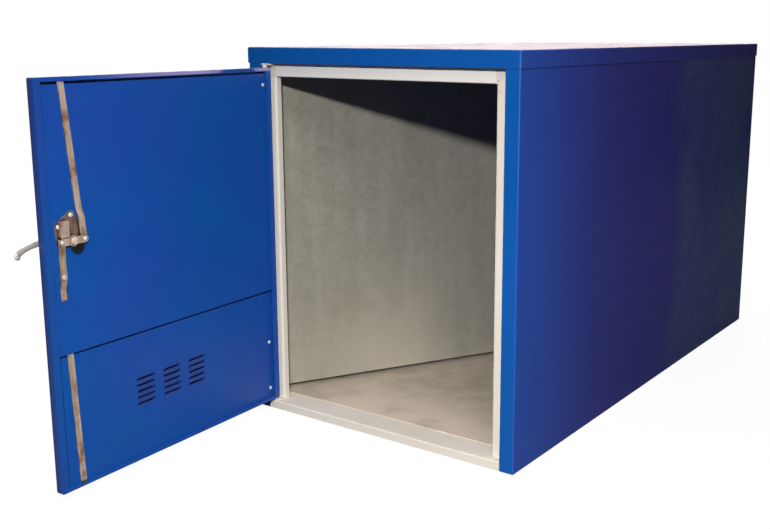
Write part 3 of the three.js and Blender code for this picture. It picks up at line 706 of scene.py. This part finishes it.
@dataclass
class Paintwork:
    """Every finish of the locker, and the sub-parts that wear it."""

    effects: Effects = field(default_factory=Effects)
    finishes: dict[str, Material] = field(default_factory=dict)
    blue: Finish = PowderCoat(
        name="blue_powder_coat",
        colour=(0.002, 0.082, 0.345),
        deep=(0.002, 0.077, 0.325),
        worn_edge_highlight=(0.05, 0.16, 0.52),
        dust=(0.16, 0.17, 0.2),
        gloss=(0.32, 0.44),
        splash=0.03,
        shine=0.38,
        # Painted light on the side: a reflection tint, shade, a mottled reflection and highlights.
        painted_lighting=SidePaintedLight(
            painted_reflection_tint=(0.022, 0.079, 0.41),
            painted_shade=(0.046, 0.022, 0.19),
            painted_darkening=(0.072, 0.122, 0.275),
            bright=(0.05, 0.16, 0.52),
        ),
    )
    leaf: Finish = replace(
        blue,
        name="blue_leaf_coat",
        colour=(0.009, 0.062, 0.35),
        deep=(0.002, 0.076, 0.345),
        worn_edge_highlight=(0.05, 0.14, 0.5),
        # Painted light on the leaf: shade at the free edge and between the louvre slots, a sheen on the rim.
        painted_lighting=LeafPaintedLight(painted_shade=(0.036, 0.034, 0.12), painted_darkening=(0.04, 0.036, 0.11), rim=(0.34, 0.3, 0.58)),
    )
    cream: Finish = PowderCoat(
        name="cream_powder_coat",
        colour=(0.692, 0.653, 0.59),
        deep=(0.663, 0.614, 0.541),
        worn_edge_highlight=(0.8, 0.77, 0.72),
        dust=(0.42, 0.36, 0.3),
        gloss=(0.36, 0.5),
        dusting=0.2,
    )
    # A lighter copy of the cream coat for the top rails: painted light making up for the shadow of the roof
    # flange.
    pale_cream: Finish = replace(
        cream,
        name="painted_lit_cream_powder_coat",
        colour=(0.81, 0.79, 0.74),
        deep=(0.78, 0.75, 0.69),
        worn_edge_highlight=(0.86, 0.83, 0.78),
        dust=(0.5, 0.44, 0.38),
    )
    wall: Finish = GalvanizedSheet(
        name="galvanized_wall",
        colour=(0.335, 0.33, 0.28),
        dull=(0.31, 0.305, 0.255),
        pale=(0.56, 0.515, 0.43),
        gloss=(0.34, 0.46),
        metallic=0.35,
        dirt=0.06,
    )
    floor: Finish = GalvanizedSheet(
        name="galvanized_floor",
        colour=(0.42, 0.37, 0.3),
        dull=(0.38, 0.33, 0.26),
        pale=(0.72, 0.61, 0.51),
        gloss=(0.28, 0.38),
        streak_and_stain_share=0.35,
        # Painted light: the floor is lighter towards the front of the bay.
        lit_along=(-0.4, -1.00),
        metallic=0.15,
        flakes=55.0,
        dirt=0.1,
    )
    # A darker copy of the zinc plate, for the lock mounts.
    darker_plate: Finish = ZincPlate(
        name="darker_zinc_plate",
        colour=(0.24, 0.17, 0.1),
        clear=(0.34, 0.25, 0.21),
        rust=(0.2, 0.1, 0.06),
        corner_shade=(0.035, 0.02, 0.012),
        edge=(0.62, 0.5, 0.45),
    )
    plate: Finish = ZincPlate(
        name="zinc_plate",
        colour=(0.46, 0.35, 0.19),
        clear=(0.72, 0.58, 0.52),
        rust=(0.34, 0.16, 0.09),
        corner_shade=(0.06, 0.035, 0.02),
        edge=(0.9, 0.8, 0.76),
    )
    chrome: Finish = PlainMetal(
        name="satin_chrome",
        colour=(0.56, 0.53, 0.49),
        shade=(0.36, 0.34, 0.31),
        gloss=(0.24, 0.38),
        metallic=0.35,
    )
    screw: Finish = PlainMetal(
        name="bright_screw",
        colour=(0.88, 0.92, 1.0),
        shade=(0.62, 0.62, 0.64),
        gloss=(0.22, 0.38),
        metallic=0.4,
    )
    nut: Finish = PlainMetal(
        name="pink_zinc_nut",
        colour=(0.95, 0.84, 0.79),
        shade=(0.62, 0.42, 0.34),
        gloss=(0.22, 0.36),
        metallic=0.3,
    )
    black: Finish = MouldedBlack(
        name="black_cover",
        colour=(0.01, 0.01, 0.013),
        worn=(0.06, 0.06, 0.07),
        gloss=(0.3, 0.48),
    )

    def build(self) -> None:
        """Builds the shared effects and every material."""
        self.effects.build()
        for each in fields(self):
            finish = getattr(self, each.name)
            if isinstance(finish, Finish):
                self.finishes[each.name] = finish.material(self.effects)

    def coat(self, label: str, nodes: Sequence[str]) -> None:
        """Gives sub-parts their finish.

        Args:
            label: the finish.
            nodes: the sub-parts' names.
        """
        for node in nodes:
            piece = frame["nodes"][node]
            if not piece.material_slots:
                piece.data.materials.append(self.finishes[label])
            for slot in piece.material_slots:
                slot.material = self.finishes[label]
            log.info("%s wears %s", node, label)


def linked(name: str, data: bpy.types.ID) -> Piece:
    """Makes an object of a mesh, a lamp or a camera.

    Args:
        name: the object's name.
        data: what it shows.

    Returns:
        The object, linked to the scene.
    """
    made = bpy.data.objects.new(name, data)
    bpy.context.scene.collection.objects.link(made)
    return made


def mesh_object(name: str, shape: bmesh.types.BMesh) -> Piece:
    """Makes an object of a shape.

    Args:
        name: the object's name.
        shape: the shape, which is used up.

    Returns:
        The object, linked to the scene.
    """
    mesh = bpy.data.meshes.new(name)
    shape.to_mesh(mesh)
    shape.free()
    return linked(name, mesh)


@dataclass(frozen=True)
class HeadShape:
    """A fastener's head of unit diameter and unit height, standing on its seat and looking along +Z."""

    kind: Head
    sides: int = 24
    cross_reach: float = 0.32
    cross_depth: float = 0.45

    def rings(self) -> list[Span]:
        """Gives the outline.

        Returns:
            Radius and height of each ring, from the seat to the crown.
        """
        if self.kind is Head.RIVET:
            turns = [math.radians(angle) for angle in (0, 18, 36, 54, 72)]
            return [(0.5 * math.cos(turn), math.sin(turn)) for turn in turns]
        return [(0.5, 0.0), (0.5, 0.28), (0.46, 0.62), (0.37, 0.88), (0.25, 0.99), (0.09, 1.0)]

    def build(self) -> Piece:
        """Builds the head.

        Returns:
            The head as an object of its own.
        """
        sides = self.sides
        shape = bmesh.new()
        rows = []
        for radius, height in self.rings():
            turns = [2 * math.pi * side / sides for side in range(sides)]
            points = [(radius * math.cos(turn), radius * math.sin(turn), height) for turn in turns]
            rows.append([shape.verts.new(point) for point in points])
        for low, high in zip(rows, rows[1:]):
            for side in range(sides):
                after = (side + 1) % sides
                shape.faces.new((low[side], low[after], high[after], high[side]))
        shape.faces.new(list(reversed(rows[0])))
        crown = shape.faces.new(rows[-1])
        if self.kind is Head.CROSS:
            self._cut_cross(shape, crown)
        for face in shape.faces:
            face.smooth = self.kind is Head.RIVET and face.normal.z > -0.9
        shape.normal_update()
        made = mesh_object(f"{self.kind.value}_head", shape)
        made.hide_render = True
        return made

    def _cut_cross(self, shape: bmesh.types.BMesh, crown: bmesh.types.BMFace) -> None:
        """Sinks the four arms of the driver's cross into the crown.

        Args:
            shape: the head.
            crown: its top face.
        """
        arm = 2 * math.pi / 4
        chosen = [crown]
        for face in shape.faces:
            middle = face.calc_center_median()
            turn = math.atan2(middle.y, middle.x) % arm
            near = min(turn, arm - turn) < math.pi / self.sides + 0.01
            if near and middle.xy.length < self.cross_reach and face is not crown:
                chosen.append(face)
        made = bmesh.ops.extrude_face_region(shape, geom=chosen)
        sunk = [item for item in made["geom"] if isinstance(item, bmesh.types.BMVert)]
        bmesh.ops.delete(shape, geom=chosen, context="FACES_ONLY")
        bmesh.ops.translate(shape, verts=sunk, vec=(0.0, 0.0, -self.cross_depth))


@dataclass(frozen=True)
class Fastener:
    """One fastener: where it sits and where it looks."""

    seat: Vector
    aim: Vector


@dataclass
class FastenerSet:
    """The fasteners of one kind on one body, set on their seats by a node tree."""

    name: str
    body: str
    kind: Head
    diameter: float
    height: float
    material: Material
    slot: Slot
    places: list[Fastener]
    seed: int = 7

    def tree(self) -> Tree:
        """Builds the tree that sets a head on every point.

        Returns:
            The geometry node tree.
        """
        tree = bpy.data.node_groups.new(f"set_{self.name}", "GeometryNodeTree")
        sockets = {"Points": "Geometry", "Head": "Object", "Diameter": "Float", "Height": "Float"}
        for label, kind in {**sockets, "Seed": "Int", "Finish": "Material"}.items():
            tree.interface.new_socket(label, in_out="INPUT", socket_type=f"NodeSocket{kind}")
        tree.interface.new_socket("Fasteners", in_out="OUTPUT", socket_type="NodeSocketGeometry")
        wiring = Wiring(tree)
        given = wiring.node("NodeGroupInput").outputs
        head = wiring.node("GeometryNodeObjectInfo", {"Object": given["Head"]})
        aim = wiring.node("GeometryNodeInputNamedAttribute", {"Name": "aim"}, data_type="FLOAT_VECTOR")
        inputs = {2: 0.0, 3: 2 * math.pi, "Seed": given["Seed"]}
        chance = wiring.node("FunctionNodeRandomValue", inputs, data_type="FLOAT")
        spin = wiring.node("ShaderNodeCombineXYZ", {"Z": chance.outputs[1]})
        turned = wiring.node("FunctionNodeEulerToRotation", {"Euler": spin.outputs["Vector"]})
        inputs = {"Rotation": turned.outputs["Rotation"], "Vector": aim.outputs["Attribute"]}
        facing = wiring.node("FunctionNodeAlignRotationToVector", inputs, axis="Z")
        inputs = {"X": given["Diameter"], "Y": given["Diameter"], "Z": given["Height"]}
        scale = wiring.node("ShaderNodeCombineXYZ", inputs)
        inputs = {
            "Points": given["Points"],
            "Instance": head.outputs["Geometry"],
            "Rotation": facing.outputs["Rotation"],
            "Scale": scale.outputs["Vector"],
        }
        placed = wiring.node("GeometryNodeInstanceOnPoints", inputs)
        real = wiring.node("GeometryNodeRealizeInstances", {"Geometry": placed.outputs["Instances"]})
        inputs = {"Geometry": real.outputs["Geometry"], "Material": given["Finish"]}
        dressed = wiring.node("GeometryNodeSetMaterial", inputs)
        wiring.node("NodeGroupOutput", {"Fasteners": dressed.outputs["Geometry"]})
        return tree

    def build(self, heads: dict[Head, Piece]) -> Piece:
        """Sets the fasteners and makes them one mesh on their body.

        Args:
            heads: the head shapes.

        Returns:
            The piece.
        """
        points = bpy.data.meshes.new(f"{self.name}_points")
        points.from_pydata([place.seat for place in self.places], [], [])
        aims = points.attributes.new("aim", "FLOAT_VECTOR", "POINT")
        for index, place in enumerate(self.places):
            aims.data[index].vector = place.aim
        made = linked(self.name, points)
        modifier = made.modifiers.new("fasteners", "NODES")
        modifier.node_group = self.tree()
        values = {
            "Head": heads[self.kind],
            "Diameter": self.diameter,
            "Height": self.height,
            "Seed": self.seed,
            "Finish": self.material,
        }
        for item in modifier.node_group.interface.items_tree:
            if item.name in values:
                modifier[item.identifier] = values[item.name]
        bpy.context.view_layer.update()
        graph = bpy.context.evaluated_depsgraph_get()
        mesh = bpy.data.meshes.new_from_object(made.evaluated_get(graph))
        made.modifiers.remove(modifier)
        made.data = mesh
        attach(made, self.body)
        log.info("%s: %d fasteners on %s", self.name, len(self.places), self.body)
        return made


@dataclass(frozen=True)
class LeafFrame:
    """Where a door leaf lies at rest. Places on it are distance from the hinge edge, height and depth."""

    end: str
    pivot_inset: float = 8 * MM

    @property
    def inward(self) -> Vector:
        """The way from the leaf's outer face to its inner face."""
        return self._joint("handle_turn", "axis")

    @property
    def along(self) -> Vector:
        """The way from the leaf's hinge edge to its free edge."""
        return Vector((self.inward.y, -self.inward.x, 0.0))

    def _joint(self, name: str, value: str) -> Vector:
        """Reads pos_m or axis of a joint of this end, named without the end."""
        wanted = f"{self.end}_{name}"
        return Vector(next(joint[value] for joint in frame["joints"] if joint["name"] == wanted))

    def point(self, across: float, height: float, depth: float) -> Vector:
        """Gives a place on the leaf.

        Args:
            across: distance from the hinge edge.
            height: height above the ground.
            depth: distance from the outer face, inwards.

        Returns:
            The place in the frame.
        """
        pivot = self._joint("door_hinge", "pos_m")
        flat = pivot + (across - self.pivot_inset) * self.along + (depth - self.pivot_inset) * self.inward
        return Vector((flat.x, flat.y, height))


@dataclass
class DoorDressing:
    """The screws of one door and its lock."""

    end: str
    paint: Paintwork
    hinge_screw_across: float = 33 * MM
    liner_screws: tuple[Span, ...] = ((1101 * MM, 18 * MM), (240 * MM, 12 * MM), (78 * MM, 12 * MM))
    mount_face: float = 20.3 * MM
    mount_screws: tuple[Span, ...] = (
        (778.4 * MM, 724.2 * MM),
        (850.4 * MM, 722 * MM),
        (856 * MM, 768 * MM),
        (814.4 * MM, 795 * MM),
    )
    cam_face: float = 31.2 * MM
    cam_pins: tuple[Span, ...] = ((779.5 * MM, 727 * MM), (853.5 * MM, 727 * MM))
    link_head: Place = (850 * MM, 633.07 * MM, 24.6 * MM)

    def dress(self) -> None:
        """Gives the door's sub-parts their finishes."""
        bushes = ("door_top_bush", "door_bottom_bush")
        wears = {
            "leaf": ("door_skin", "door_upper_liner", "door_lower_liner"),
            "plate": (*bushes, "lock_case", "lock_cam", "upper_rod", "lower_link", "lower_rod"),
            "darker_plate": ["lock_mount"],
            "nut": ["handle_spindle"],
            "chrome": ("handle_rose", "handle_lever"),
            "black": ["lock_barrel"],
        }
        for label, parts in wears.items():
            self.paint.coat(label, [f"{self.end}_{part}" for part in parts])

    def build(self, heads: dict[Head, Piece]) -> list[Piece]:
        """Sets the door's screws.

        Args:
            heads: the head shapes.

        Returns:
            The pieces.
        """
        leaf = LeafFrame(self.end)
        liner = [(self.hinge_screw_across, *place) for place in self.liner_screws]
        mount = [(*place, self.mount_face) for place in self.mount_screws]
        pins = [(*place, self.cam_face) for place in self.cam_pins]
        rows = (
            ("liner_screws", "door", Head.CROSS, 11.5 * MM, 3.6 * MM, liner),
            ("lock_screws", "door", Head.CROSS, 13 * MM, 5 * MM, mount),
            ("cam_rivets", "handle", Head.RIVET, 12 * MM, 3.4 * MM, pins),
            ("link_rivet", "lower_link", Head.RIVET, 13.4 * MM, 2.6 * MM, [self.link_head]),
        )
        screw = self.paint.finishes["screw"]
        pieces = []
        for name, body, kind, *size, seats in rows:
            labels = (f"{self.end}_{name}", f"{self.end}_{body}")
            places = [Fastener(leaf.point(*seat), leaf.inward) for seat in seats]
            made = FastenerSet(*labels, kind, *size, screw, Slot.PLATED, places)
            pieces.append(made.build(heads))
        return pieces


@dataclass
class CabinetDressing:
    """The finishes of the cabinet, its rivets and the screws of the opening frames."""

    paint: Paintwork
    bearers: tuple[str, ...] = ("middle_bearer", "front_bearer", "rear_bearer")
    rivet_pitch: float = 160 * MM
    rivet_margin: float = 60 * MM
    flange_across: float = 19 * MM
    wall_sheet: float = 2 * MM
    floor_rivet_shares: tuple[float, ...] = (0.06, 0.28, 0.72, 0.94)
    frame_screws: tuple[Span, ...] = ((420.3 * MM, 1133.7 * MM), (429.5 * MM, 1105.2 * MM))
    seam_across: float = 418.4 * MM
    seam_gauge: Span = (9.4 * MM, 0.4 * MM)

    def dress(self) -> None:
        """Gives the cabinet's sub-parts their finishes."""
        self.paint.coat("blue", ("roof_cap", "right_side_panel", "left_side_panel"))
        for end in ("front", "rear"):
            parts = ("hinge_jamb", "lock_jamb", "sill", "top_pivot", "bottom_pivot")
            self.paint.coat("cream", [f"{end}_{part}" for part in parts])
            self.paint.coat("pale_cream", [f"{end}_top_rail"])
            self.paint.coat("blue", [f"{end}_header"])
        self.paint.coat("wall", ("dividing_wall", *self.bearers))
        self.paint.coat("floor", ["floor_panel"])

    def _wall_rivets(self) -> list[Fastener]:
        """Rivets down the wall's two flanges, on the sides that face the bays.

        Returns:
            The rivets.
        """
        low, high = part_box("dividing_wall")
        first = low.z + self.rivet_margin
        run = high.z - self.rivet_margin - first
        count = int(run / self.rivet_pitch) + 1
        places = []
        for index in range(count):
            height = first + index * run / (count - 1)
            seat = Vector((low.x + self.wall_sheet, low.y + self.flange_across, height))
            places.append(Fastener(seat, Vector((1.0, 0.0, 0.0))))
            places.append(Fastener(Vector((-seat.x, -seat.y, height)), Vector((-1.0, 0.0, 0.0))))
        return places

    def _floor_rivets(self) -> list[Fastener]:
        """Rivets through the floor into the bearers.

        Returns:
            The rivets.
        """
        low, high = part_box("floor_panel")
        up = Vector((0.0, 0.0, 1.0))
        places = []
        for name in self.bearers:
            start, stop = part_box(name)
            middle = (start.y + stop.y) / 2
            for share in self.floor_rivet_shares:
                across = low.x + share * (high.x - low.x)
                places.append(Fastener(Vector((across, middle, high.z)), up))
        return places

    def _frame_screws(self) -> list[Fastener]:
        """Screws that hold the lock jambs, near their tops.

        Returns:
            The screws.
        """
        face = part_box("front_lock_jamb")[0].y
        places = []
        for way in (1.0, -1.0):
            for across, height in self.frame_screws:
                places.append(Fastener(Vector((way * across, way * face, height)), Vector((0.0, -way, 0.0))))
        return places

    def _rail_seams(self) -> Piece:
        """Paint bridging the joints between each top rail and its jambs.

        Returns:
            The piece.
        """
        low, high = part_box("front_top_rail")
        width, depth = self.seam_gauge
        shape = bmesh.new()
        for way in (1.0, -1.0):
            for middle in (-self.seam_across, self.seam_across):
                outline = ((-width / 2, 0.0), (0.0, depth), (width / 2, 0.0))
                foot, top = (
                    [shape.verts.new((middle + x, way * (low.y - y), height)) for x, y in outline]
                    for height in (low.z, high.z)
                )
                for near, far in ((0, 1), (1, 2), (2, 0)):
                    shape.faces.new((foot[near], foot[far], top[far], top[near]))
                shape.faces.new(foot)
                shape.faces.new(list(reversed(top)))
        bmesh.ops.recalc_face_normals(shape, faces=shape.faces[:])
        seam = mesh_object("rail_seams", shape)
        seam.data.materials.append(self.paint.finishes["cream"])
        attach(seam, "cabinet")
        return seam

    def build(self, heads: dict[Head, Piece]) -> list[Piece]:
        """Sets the cabinet's rivets and screws.

        Args:
            heads: the head shapes.

        Returns:
            The pieces.
        """
        rows = (
            ("wall_rivets", Head.RIVET, 7 * MM, 1.8 * MM, "wall", Slot.GALVANIZED, self._wall_rivets()),
            ("floor_rivets", Head.RIVET, 8 * MM, 2 * MM, "wall", Slot.GALVANIZED, self._floor_rivets()),
            ("jamb_screws", Head.CROSS, 7 * MM, 1.6 * MM, "plate", Slot.PLATED, self._frame_screws()),
        )
        pieces = []
        for name, *size, label, slot, places in rows:
            made = FastenerSet(name, "cabinet", *size, self.paint.finishes[label], slot, places)
            pieces.append(made.build(heads))
        return [*pieces, self._rail_seams()]


@dataclass(frozen=True)
class SoftLight:
    """A rectangular lamp with a soft cover, and a grid that narrows its beam."""

    name: str
    place: Place
    target: Place
    width: float
    height: float
    power: float
    colour: Colour
    beam: float = 180.0
    mirrored: bool = True

    def build(self) -> None:
        """Hangs the lamp and aims it."""
        data = bpy.data.lights.new(self.name, "AREA")
        data.shape = "RECTANGLE"
        data.size = self.width
        data.size_y = self.height
        data.energy = self.power
        data.color = self.colour
        data.spread = math.radians(self.beam)
        lamp = linked(self.name, data)
        lamp.location = self.place
        way = Vector(self.target) - Vector(self.place)
        lamp.rotation_euler = way.to_track_quat("-Z", "Y").to_euler()
        lamp.visible_glossy = self.mirrored


@dataclass
class Studio:
    """The pale floor, the pale surround, the soft lights and the camera."""

    camera_place: Place = (1.8828, -3.4306, 1.2645)
    camera_tilt: float = 78.65
    camera_turn: float = 35.25
    lens: float = 47.51
    shift: Span = (-0.0455, -0.0358)
    white: Colour = (1.0, 1.0, 1.0)
    floor_reach: float = 40.0
    floor_colour: Colour = (0.1, 0.1, 0.1)
    floor_rough: float = 0.9
    floor_glow: float = 0.92
    floor_fade: Span = (2.2, 5.0)
    surround_glow: float = 0.008
    gloss_back: Span = (-0.4, 0.3)
    gloss_glow: Span = (0.016, 0.08)
    gloss_colour: Colour = (1.0, 0.72, 0.84)
    backdrop_way: Place = (-0.58, 0.81, 0.05)
    backdrop_edge: Span = (0.8, 0.95)
    backdrop_glow: float = 4.4
    backdrop_colour: Colour = (0.98, 0.81, 0.71)
    lights: tuple[SoftLight, ...] = (
        SoftLight(
            *("key_light", (2.04, -3.85, 2.14), (0.0, -1.0, -0.6), 0.2, 0.16, 46.0, (1.0, 0.975, 0.95)),
            beam=84.0,
        ),
        SoftLight("top_light", (1.6, -2.5, 3.2), (0.1, -1.0, 0.3), 1.8, 1.4, 42.0, (1.0, 0.96, 0.92)),
        SoftLight(
            *("back_light", (-0.9, 4.8, 2.3), (0.0, 1.0, 0.4), 2.2, 1.6, 190.0, (1.0, 0.975, 0.95)),
            mirrored=False,
        ),
        SoftLight(
            *("left_light", (-4.4, -0.35, 2.2), (-0.5, -0.4, 0.4), 2.2, 1.6, 170.0, (1.0, 0.975, 0.95)),
            mirrored=False,
        ),
    )

    def build(self) -> None:
        """Builds the studio."""
        self._camera()
        self._floor()
        self._surround()
        for light in self.lights:
            light.build()
        settings = bpy.context.scene.view_settings
        settings.view_transform = "Standard"
        settings.look = "None"

    def _camera(self) -> None:
        """Stands the camera where the locker was seen from."""
        data = bpy.data.cameras.new("camera")
        data.lens = self.lens
        data.shift_x, data.shift_y = self.shift
        camera = linked("camera", data)
        camera.location = self.camera_place
        camera.rotation_euler = (math.radians(self.camera_tilt), 0.0, math.radians(self.camera_turn))
        bpy.context.scene.camera = camera

    def _floor(self) -> None:
        """Lays the pale floor."""
        shape = bmesh.new()
        reach = self.floor_reach
        corners = ((-reach, -reach), (reach, -reach), (reach, reach), (-reach, reach))
        shape.faces.new([shape.verts.new((x, y, 0.0)) for x, y in corners])
        floor = mesh_object("studio_floor", shape)
        look = Look("studio_floor", self.floor_colour)
        seen = look.node("ShaderNodeLightPath").outputs["Is Camera Ray"]
        away = look.vector("LENGTH", {0: look.place}, "Value")
        glow = look.ramp(away, *self.floor_fade, (self.floor_glow, 1.0))
        inputs = {
            "Base Color": rgba(self.floor_colour),
            "Roughness": self.floor_rough,
            "Specular IOR Level": 0.0,
            "Emission Color": rgba(self.white),
            "Emission Strength": look.times(seen, glow),
        }
        look.shade(inputs)
        floor.data.materials.append(look.material)

    def _surround(self) -> None:
        """Makes the surround white to look at, dim as a light, and bright in gloss only behind the locker."""
        world = bpy.data.worlds.new("surround")
        bpy.context.scene.world = world
        world.use_nodes = True
        world.node_tree.nodes.clear()
        wiring = Wiring(world.node_tree)
        rays = wiring.node("ShaderNodeLightPath").outputs
        way = wiring.node("ShaderNodeTexCoord").outputs["Generated"]
        inputs = {0: way, 1: self.backdrop_way}
        backdrop = wiring.ramp(wiring.vector("DOT_PRODUCT", inputs, "Value"), *self.backdrop_edge)
        back = wiring.parts(way)[1]
        glow = wiring.ramp(back, *self.gloss_back, self.gloss_glow)
        gloss = wiring.math("ADD", wiring.times(backdrop, self.backdrop_glow), glow)
        glossy = rays["Is Glossy Ray"]
        dim = wiring.math("ADD", wiring.times(glossy, gloss), self.surround_glow)
        seen = wiring.math("MAXIMUM", dim, rays["Is Camera Ray"])
        tinted = wiring.times(glossy, wiring.math("SUBTRACT", 1.0, backdrop))
        lit = wiring.blend(wiring.times(glossy, backdrop), self.white, self.backdrop_colour)
        colour = wiring.blend(tinted, lit, self.gloss_colour)
        shader = wiring.node("ShaderNodeBackground", {"Color": colour, "Strength": seen})
        wiring.node("ShaderNodeOutputWorld", {"Surface": shader.outputs["Background"]})


def corners(box: tuple[Vector, Vector]) -> list[list[float]]:
    """Gives the lowest and highest corner of a box as plain lists."""
    return [list(corner) for corner in box]


def main() -> None:
    """Builds the studio, the finishes and the trim of the locker."""
    Studio().build()
    paint = Paintwork()
    paint.build()
    heads = {kind: HeadShape(kind).build() for kind in Head}
    cabinet = CabinetDressing(paint)
    doors = [DoorDressing(end, paint) for end in ("front", "rear")]
    for group in (cabinet, *doors):
        group.dress()
        for piece in group.build(heads):
            log.info("%s has %d faces", piece.name, len(piece.data.polygons))
    for head in heads.values():
        bpy.data.objects.remove(head)


if __name__ == "__main__":
    logging.basicConfig(level=logging.INFO, format="%(message)s")
    main()
